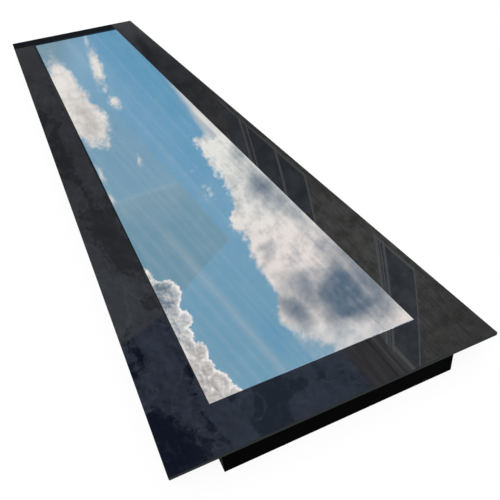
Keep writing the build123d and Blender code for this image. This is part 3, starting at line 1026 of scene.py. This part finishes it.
low_shape = most(
    within(low_scrap, low_head, low_brow, low_neck, low_elbow, low_knuckle),
    within(low_fist, low_hip, low_knee, low_toe, low_foot, low_body),
)
low_field = frayed(low_shape, (bulges, 8.0), (small_bulges, 6.0), (feathers, 2.5))
low_shade = summed(
    (soft_step(low_field, 1.0, 4.5), 0.5),
    (soft_step(low_field, 8.0, 15.0), -0.2),
    (patch(low_hollow, strength=0.38, blur=8.0), 1.0),
    (lit_side(bulging, stride(2.2, 2.8), 62.0, 3.0), -1.2),
    (lit_side(bulging, stride(1.0, 1.4), 150.0, 2.0), -0.5),
    (lit_side(drifting, stride(1.5, 2.0), 90.0, 5.0, 0.65, shift=feather_shift), -0.4),
    (folds, 0.35),
    ground=0.05,
)
low_dark = between(soft_step(row, *low_rows), low_far_dark, low_near_dark)
sky = between(soft_step(low_field, -0.8, 1.2), sky, between(low_shade, low_light, low_dark))

# Beyond the clear area, where only the enamel mirrors: dull clouds to the left with lit rims, bluer ones
# nearer the camera, and a dark far end.

left_far, left_near = (35, 46), (209, 403)
nearer_left, nearer_right = (131, 338), (165, 313)
dull_shade_far = ((68, 165), 28, 9, 20)
dull_shade_near = ((98, 226), 26, 13, 25)
dull_shade_inner = ((132, 272), 34, 8, 27)
dull_heap = ((101, 291), 46, 22, 22)
dull_tuft = ((73, 197), 15, 9, 35)
inner_tuft = ((134, 284), 16, 8, 50)
left_heap = ((156, 348), 46, 13, 25)
near_heap = ((231, 421), 46, 13, 45)
near_ring = ((252, 407), 14, 13, 0)
near_gap = ((274, 404), 32, 16, 20)
second_heap = ((322, 400), 36, 18, 110)
dark_corner = ((170, 466), 34, 20, 15)
blue_columns, far_rows = (180, 260), (110, 45)
dull_dark, dull_white = (0.43, 0.435, 0.49), (0.84, 0.90, 1.0)
left_blue_dark, right_blue_dark, blue_white = (0.10, 0.145, 0.28), (0.27, 0.36, 0.52), (0.60, 0.73, 1.0)
far_grey, far_end_dark = (0.47, 0.49, 0.53), (0.10, 0.125, 0.155)

left_out = beside(left_far, left_near)
near_out = beside(left_near, right_near)
far_out = beside(right_far, left_far)
dull_heaps = within(dull_heap, dull_tuft, inner_tuft)
dull_heaps = frayed(dull_heaps, (bulges, 14.0), (small_bulges, 7.0), (feathers, 4.0))
dull_billows = summed(
    (bulging(26.0, 4.0), 0.9),
    (drifting(11.0, 10.0, 0.62, shift=(0.3, 5.1, 2.2)), 1.0),
    (soft_step(puff(*dull_shade_far), -10.0, 8.0), -0.2),
    (soft_step(puff(*dull_shade_near), -10.0, 8.0), -0.35),
    (soft_step(puff(*dull_shade_inner), -8.0, 6.0), -0.4),
    (soft_step(dull_heaps, -1.0, 4.0), 0.3),
    (soft_step(puff(*left_heap), -10.0, 10.0), 0.35),
    (soft_step(frayed(puff(*near_heap), (bulges, 9.0)), -3.0, 4.0), 0.5),
    (soft_step(puff(*near_gap), -6.0, 4.0), -0.35),
    (soft_step(frayed(puff(*second_heap), (bulges, 12.0)), -4.0, 6.0), 0.35),
    (soft_step(puff(*dark_corner), -16.0, 16.0), -0.5),
)
threads = stripe(drifting(30.0, 3.0, 0.5, shift=(8.1, 3.3, 0.7)), 0.0, 0.05)
by_dark_edge = both(soft_step(dull_billows, -0.3, 0.0), soft_step(dull_billows, 0.45, 0.1))
ring = stripe(frayed(puff(*near_ring), (small_bulges, 6.0)), 0.3, 2.2)
dull_light = summed(
    (both(threads, by_dark_edge), 0.35),
    (stripe(dull_heaps, 0.4, 2.0), 0.5),
    (both(ring, soft_step(puff(*near_heap), 0.0, -6.0)), 0.5),
    (soft_step(dull_billows, -0.06, 0.12), 0.45),
    (soft_step(dull_billows, -0.4, 0.5), 0.3),
    (stripe(dull_billows, 0.0, 0.07), 0.3),
    (lit_side(bulging, stride(2.5, 3.0), 26.0, 4.0), 0.8),
    (lit_side(drifting, stride(2.0, 3.0), 34.0, 6.0, 0.6, shift=folds_shift), 0.5),
    (folds, 0.25),
)
dull_cloud = between(dull_light, dull_dark, dull_white)
blue_dark = between(soft_step(column, *blue_columns), left_blue_dark, right_blue_dark)
blue_cloud = between(dull_light, blue_dark, blue_white)
side_sky = between(soft_step(beside(nearer_left, nearer_right), -2.0, 2.0), dull_cloud, blue_cloud)
side_sky = between(soft_step(row, *far_rows), side_sky, far_grey)
sky = between(soft_step(most(left_out, near_out), 0.5, 2.0), sky, side_sky)
sky = between(soft_step(far_out, 0.0, 1.5), sky, far_end_dark)

# House wall: pale render with two windows in white frames, along the right side. A place across it is how
# far the mirrored view goes sideways for each metre up, and a place along it is a bearing that leans back.


def bar(value, centre, half_width):
    """1 on a straight bar and 0 off it."""
    return stripe(calc("SUBTRACT", value, centre), 0.5 * half_width, 1.5 * half_width)


def opening(start, end, inner, outer):
    """1 in a square-cornered opening of the wall and 0 round it, from start to end along the wall."""
    across = both(soft_step(along_wall, start, start + 0.003), soft_step(along_wall, end, end - 0.003))
    upright = both(soft_step(sideways, inner, inner + 0.005), soft_step(sideways, outer, outer - 0.005))
    return both(across, upright)


least_climb, least_advance = 0.02, 0.05
lean_back, lean_from = 0.42, 0.825
view = add(sky_tree, "ShaderNodeSeparateXYZ", {"Vector": direction}).outputs
rise = view["Z"]
sideways = calc("DIVIDE", view["X"], calc("MAXIMUM", rise, least_climb))
bearing = calc("DIVIDE", view["X"], calc("MAXIMUM", view["Y"], least_advance))
leaning = calc("MULTIPLY_ADD", calc("SUBTRACT", lean_from, sideways), lean_back, 1.0)
along_wall = calc("DIVIDE", bearing, leaning)

side_wall_edge, near_wall_edge = (0.703, 0.709), (0.485, 0.51)
dull_bearings, far_bearings = (0.85, 1.05), (0.40, 0.26)
far_wedge = ((146, 50), 17, 5, 33)
render_dark, render_light, render_dull = (0.58, 0.55, 0.52), (1.16, 1.13, 1.08), (0.46, 0.44, 0.42)
far_wall_dark, far_wall_light, wedge_dark = (0.36, 0.375, 0.43), (0.60, 0.62, 0.70), (0.19, 0.21, 0.26)
near_wall = both(soft_step(sideways, *near_wall_edge), soft_step(near_out, 0.5, 2.0))
wall = most(soft_step(sideways, *side_wall_edge), near_wall)
render_grain = summed(
    (drifting(60.0, 6.0, 0.75, shift=(1.9, 2.8, 0.6)), 0.6),
    (brushed(right_out, 0.7, down_the_side, 14.0, detail=6.0, roughness=0.7), 1.4),
    (folds, 0.3),
)
wall_colour = between(soft_step(render_grain, 0.4, 1.0), render_dark, render_light)
wall_colour = washed(wall_colour, render_dull, soft_step(bearing, *dull_bearings), strength=0.45)
far_tone = between(soft_step(folds, -0.4, 0.4), far_wall_dark, far_wall_light)
wedge = soft_step(frayed(puff(*far_wedge), (feathers, 3.0)), -2.0, 3.0)
far_tone = washed(far_tone, wedge_dark, wedge, strength=0.8)
wall_colour = washed(wall_colour, far_tone, soft_step(bearing, *far_bearings), strength=0.9)

far_glass, far_frame = (0.338, 0.523, 0.60, 0.825), (0.335, 0.527, 0.60, 0.832)
near_glass, near_frame = (0.718, 0.87, 0.60, 0.826), (0.717, 0.874, 0.597, 0.833)
far_uprights = ((0.377, 0.0028), (0.390, 0.002), (0.452, 0.0035), (0.522, 0.003))
near_uprights = ((0.725, 0.007), (0.739, 0.0025), (0.7525, 0.005), (0.868, 0.003))
far_head, near_head = (0.824, 0.004), (0.825, 0.004)
near_sill, near_sill_start = (0.608, 0.005), (0.742, 0.748)
sill_edge = (0.605, 0.599)
dark_line, light_line = (0.566, 0.003), (0.581, 0.003)
upper_line, upper_line_start = (0.595, 0.004), (0.722, 0.730)
window_dark, window_light, frame_white = (0.42, 0.46, 0.54), (0.72, 0.77, 0.87), (1.25, 1.25, 1.27)
apron_dark, apron_light = (0.50, 0.475, 0.51), (0.66, 0.635, 0.67)
line_dark, line_white = (0.26, 0.25, 0.26), (0.95, 0.95, 0.95)
window_glass = between(soft_step(folds, -0.4, 0.4), window_dark, window_light)
wall_colour = between(most(opening(*far_glass), opening(*near_glass)), wall_colour, window_glass)
apron_strokes = brushed(sideways, 70.0, along_wall, 7.0, detail=3.0)
apron = between(soft_step(apron_strokes, 0.35, 0.65), apron_dark, apron_light)
apron = washed(apron, line_dark, bar(sideways, *dark_line), strength=0.6)
apron = washed(apron, line_white, bar(sideways, *light_line), strength=0.7)
upper_bar = both(bar(sideways, *upper_line), soft_step(along_wall, *upper_line_start))
apron = washed(apron, line_white, upper_bar, strength=0.5)
wall_colour = between(soft_step(sideways, *sill_edge), wall_colour, apron)
far_bars = most(*[bar(along_wall, *upright) for upright in far_uprights], bar(sideways, *far_head))
near_bars = most(*[bar(along_wall, *upright) for upright in near_uprights], bar(sideways, *near_head))
near_bars = most(near_bars, both(bar(sideways, *near_sill), soft_step(along_wall, *near_sill_start)))
window_frames = most(both(far_bars, opening(*far_frame)), both(near_bars, opening(*near_frame)))
wall_colour = between(window_frames, wall_colour, frame_white)
sky = between(wall, sky, wall_colour)

# All round: plain clouds where the camera's own view doesn't reach, pale towards the horizon. Only what is
# mirrored or seen through glass meets this sky: other light is plain and white, and so is the backdrop.

view_end, wall_end = (0.55, 0.3), (0.94, 1.0)
horizon_start, ground_start = (0.2, 0.02), (0.0, -0.02)
open_blue, open_light, open_dark = (0.18, 0.37, 0.53), (0.86, 0.84, 0.81), (0.45, 0.50, 0.56)
horizon_haze, ground_pale = (0.78, 0.81, 0.84), (0.85, 0.85, 0.85)
plain_strength = 0.72
rolling = drifting(6.0, 10.0, 0.58, shift=(0.3, 5.1, 2.2))
open_cloud = between(soft_step(folds, -0.3, 0.5), open_light, open_dark)
open_sky = between(soft_step(rolling, -0.02, 0.14), open_blue, open_cloud)
out_of_view = most(soft_step(in_view, *view_end), soft_step(sideways, *wall_end))
sky = between(out_of_view, sky, open_sky)
sky = between(soft_step(rise, *horizon_start), sky, horizon_haze)
sky = between(soft_step(rise, *ground_start), sky, ground_pale)

sky_path = add(sky_tree, "ShaderNodeLightPath", {}).outputs
in_glass = most(sky_path["Is Glossy Ray"], sky_path["Is Transmission Ray"])
sky_tree.nodes.remove(sky_tree.nodes["Background"])
plain_light = made(sky_tree, "ShaderNodeBackground", {"Color": plain_white, "Strength": plain_strength})
sky_light = made(sky_tree, "ShaderNodeBackground", {"Color": sky, "Strength": 1.0})
backdrop = made(sky_tree, "ShaderNodeBackground", {"Color": plain_white, "Strength": 1.0})
lit = made(sky_tree, "ShaderNodeMixShader", {"Fac": in_glass, 1: plain_light, 2: sky_light})
shown = made(sky_tree, "ShaderNodeMixShader", {"Fac": sky_path["Is Camera Ray"], 1: lit, 2: backdrop})
sky_tree.links.new(shown, sky_tree.nodes["World Output"].inputs["Surface"])

# Picture: colours are shown as written.

bpy.context.scene.view_settings.view_transform = "Standard"
